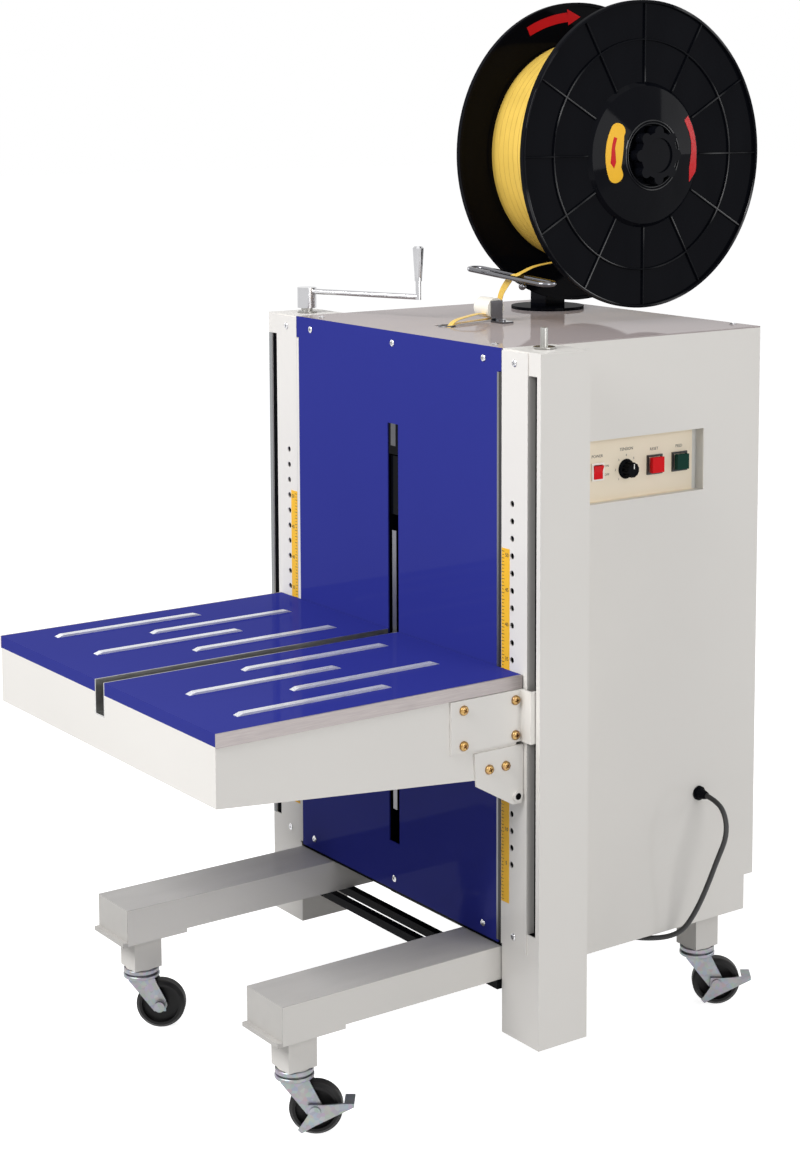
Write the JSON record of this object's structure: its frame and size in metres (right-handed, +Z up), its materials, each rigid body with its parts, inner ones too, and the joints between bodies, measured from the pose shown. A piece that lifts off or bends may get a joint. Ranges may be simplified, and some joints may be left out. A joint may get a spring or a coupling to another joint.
{
  "type": "strapping machine",
  "caption": "Upright strapping machine on castors with a crank-raised front table, recessed controls and a strap reel on top.",
  "frame": {"origin": "on the floor, at the centre of the machine's outline seen from above", "axes": "+Z up, +X to the side with the switches, +Y to the back; the table faces -Y"},
  "size_m": [0.72, 1.141, 1.578],
  "materials": {
    "cream_paint": "gloss",
    "blue_paint": "gloss",
    "black_paint": "satin",
    "steel": "satin",
    "zinc": "satin",
    "black_plastic": "gloss",
    "cord": "matte",
    "strap": "gloss",
    "white_plastic": "satin",
    "red_plastic": "gloss",
    "green_plastic": "gloss",
    "black_tyre": "satin"
  },
  "bodies": {
    "cabinet": {"base_rails": "cream_paint", "cross_bars": "black_paint", "corner_post_right": "cream_paint", "corner_post_left": "cream_paint", "guide_plates": "cream_paint", "front_panel": "blue_paint", "slot_guide": "steel", "side_panel_left": "cream_paint", "side_panel_right": "cream_paint", "rear_panel": "cream_paint", "top_cover": "cream_paint", "floor_pan": "cream_paint", "panel_screws": "steel", "seal_head": "black_paint", "drive_motor": "black_paint", "control_plate": "cream_paint", "reel_stand": "black_paint", "roller_bracket": "steel", "strap_tail": "strap", "lift_chain": "steel", "cord_gland": "black_plastic", "power_cord": "cord", "cord_coil": "cord", "power_plug": "black_plastic"},
    "table": {"table_frame": "cream_paint", "table_top_left": "cream_paint", "table_top_right": "cream_paint", "strap_groove": "black_paint", "slide_strips": "steel", "table_brackets": "cream_paint", "bracket_bolts": "zinc", "lift_nuts": "steel"},
    "guide_roller_left": {"guide_roller_left": "steel"},
    "guide_roller_right": {"guide_roller_right": "steel"},
    "crank": {"lead_screw_left": "steel", "crank_arm": "steel"},
    "grip": {"crank_grip": "steel"},
    "right_screw": {"lead_screw_right": "steel"},
    "reel": {"reel_flange_far": "black_plastic", "reel_flange_near": "black_plastic", "star_nut": "black_plastic", "strap_winding": "strap"},
    "brake_arm": {"brake_arm": "steel"},
    "strap_roller": {"strap_roller": "white_plastic"},
    "rocker": {"power_rocker": "red_plastic"},
    "knob": {"speed_knob": "black_plastic"},
    "red_button": {"push_button_red": "red_plastic"},
    "green_button": {"push_button_green": "green_plastic"},
    "cams": {"cam_shaft": "steel"},
    "feed": {"feed_roller": "steel"},
    "fork_front_left": {"caster_fork_front_left": "steel"},
    "wheel_front_left": {"caster_wheel_front_left": "black_tyre"},
    "fork_front_right": {"caster_fork_front_right": "steel"},
    "wheel_front_right": {"caster_wheel_front_right": "black_tyre"},
    "pedal_front": {"brake_pedal_front": "steel"},
    "fork_rear_left": {"caster_fork_rear_left": "steel"},
    "wheel_rear_left": {"caster_wheel_rear_left": "black_tyre"},
    "fork_rear_right": {"caster_fork_rear_right": "steel"},
    "wheel_rear_right": {"caster_wheel_rear_right": "black_tyre"},
    "pedal_rear": {"brake_pedal_rear": "steel"}
  },
  "joints": [
    {"name": "crank_turn", "type": "hinge", "parent": "cabinet", "child": "crank", "pos_m": [-0.312, -0.0305, 1], "axis": [0, 0, 1], "range_deg": [-7190, 6110]},
    {"name": "table_lift", "type": "slide", "parent": "cabinet", "child": "table", "axis": [0, 0, 1], "range_m": [-0.2, 0.17]},
    {"name": "right_screw_turn", "type": "hinge", "parent": "cabinet", "child": "right_screw", "pos_m": [0.312, -0.0305, 1], "axis": [0, 0, 1], "range_deg": [-7200, 6120]},
    {"name": "grip_spin", "type": "hinge", "parent": "crank", "child": "grip", "pos_m": [-0.12076, 0.05625, 1.16], "axis": [0, 0, 1], "continuous": true},
    {"name": "guide_roller_left_spin", "type": "hinge", "parent": "table", "child": "guide_roller_left", "pos_m": [-0.31, -0.0868, 0.448], "axis": [1, 0, 0], "continuous": true},
    {"name": "guide_roller_right_spin", "type": "hinge", "parent": "table", "child": "guide_roller_right", "pos_m": [0.31, -0.0868, 0.448], "axis": [1, 0, 0], "continuous": true},
    {"name": "reel_spin", "type": "hinge", "parent": "cabinet", "child": "reel", "pos_m": [0, 0.3315, 1.339], "axis": [1, 0, 0], "continuous": true},
    {"name": "brake_arm_lift", "type": "hinge", "parent": "cabinet", "child": "brake_arm", "pos_m": [-0.117, 0.3175, 1.123], "axis": [-1, 0, 0], "range_deg": [0, 4.5], "deforming": ["strap_tail"]},
    {"name": "strap_roller_spin", "type": "hinge", "parent": "cabinet", "child": "strap_roller", "pos_m": [-0.03, 0.1285, 1.1015], "axis": [1, 0, 0], "continuous": true},
    {"name": "rocker_switch", "type": "hinge", "parent": "cabinet", "child": "rocker", "pos_m": [0.2545, 0.1142, 0.8823], "axis": [0, 1, 0], "range_deg": [-16, 0]},
    {"name": "knob_turn", "type": "hinge", "parent": "cabinet", "child": "knob", "pos_m": [0.2545, 0.17, 0.8812], "axis": [-1, 0, 0], "range_deg": [-150, 150]},
    {"name": "red_press", "type": "slide", "parent": "cabinet", "child": "red_button", "axis": [-1, 0, 0], "range_m": [0, 0.004], "stiffness_N_per_m": 300, "springref_m": -0.001},
    {"name": "green_press", "type": "slide", "parent": "cabinet", "child": "green_button", "axis": [-1, 0, 0], "range_m": [0, 0.004], "stiffness_N_per_m": 300, "springref_m": -0.001},
    {"name": "cam_turn", "type": "hinge", "parent": "cabinet", "child": "cams", "pos_m": [0, 0.0365, 0.735], "axis": [1, 0, 0], "continuous": true},
    {"name": "feed_turn", "type": "hinge", "parent": "cabinet", "child": "feed", "pos_m": [0, 0.0065, 0.968], "axis": [1, 0, 0], "continuous": true},
    {"name": "swivel_front_left", "type": "hinge", "parent": "cabinet", "child": "fork_front_left", "pos_m": [-0.2235, -0.3965, 0.085], "axis": [0, 0, 1], "continuous": true},
    {"name": "roll_front_left", "type": "hinge", "parent": "fork_front_left", "child": "wheel_front_left", "pos_m": [-0.2055, -0.3725, 0.0375], "axis": [-0.8, 0.6, 0], "continuous": true},
    {"name": "swivel_front_right", "type": "hinge", "parent": "cabinet", "child": "fork_front_right", "pos_m": [0.2235, -0.3965, 0.085], "axis": [0, 0, 1], "continuous": true},
    {"name": "roll_front_right", "type": "hinge", "parent": "fork_front_right", "child": "wheel_front_right", "pos_m": [0.2415, -0.3725, 0.0375], "axis": [-0.8, 0.6, 0], "continuous": true},
    {"name": "pedal_press_front", "type": "hinge", "parent": "fork_front_right", "child": "pedal_front", "pos_m": [0.2415, -0.3725, 0.0375], "axis": [-0.8, 0.6, 0], "range_deg": [0, 25]},
    {"name": "swivel_rear_left", "type": "hinge", "parent": "cabinet", "child": "fork_rear_left", "pos_m": [-0.2235, 0.3505, 0.085], "axis": [0, 0, 1], "continuous": true},
    {"name": "roll_rear_left", "type": "hinge", "parent": "fork_rear_left", "child": "wheel_rear_left", "pos_m": [-0.2055, 0.3745, 0.0375], "axis": [-0.8, 0.6, 0], "continuous": true},
    {"name": "swivel_rear_right", "type": "hinge", "parent": "cabinet", "child": "fork_rear_right", "pos_m": [0.2235, 0.3505, 0.085], "axis": [0, 0, 1], "continuous": true},
    {"name": "roll_rear_right", "type": "hinge", "parent": "fork_rear_right", "child": "wheel_rear_right", "pos_m": [0.2415, 0.3745, 0.0375], "axis": [-0.8, 0.6, 0], "continuous": true},
    {"name": "pedal_press_rear", "type": "hinge", "parent": "fork_rear_right", "child": "pedal_rear", "pos_m": [0.2415, 0.3745, 0.0375], "axis": [-0.8, 0.6, 0], "range_deg": [0, 25]}
  ],
  "couplings": [
    {"joint": "table_lift", "follows": "crank_turn", "m_per_rad": 0.0015915},
    {"joint": "right_screw_turn", "follows": "crank_turn", "ratio": 1}
  ]
}
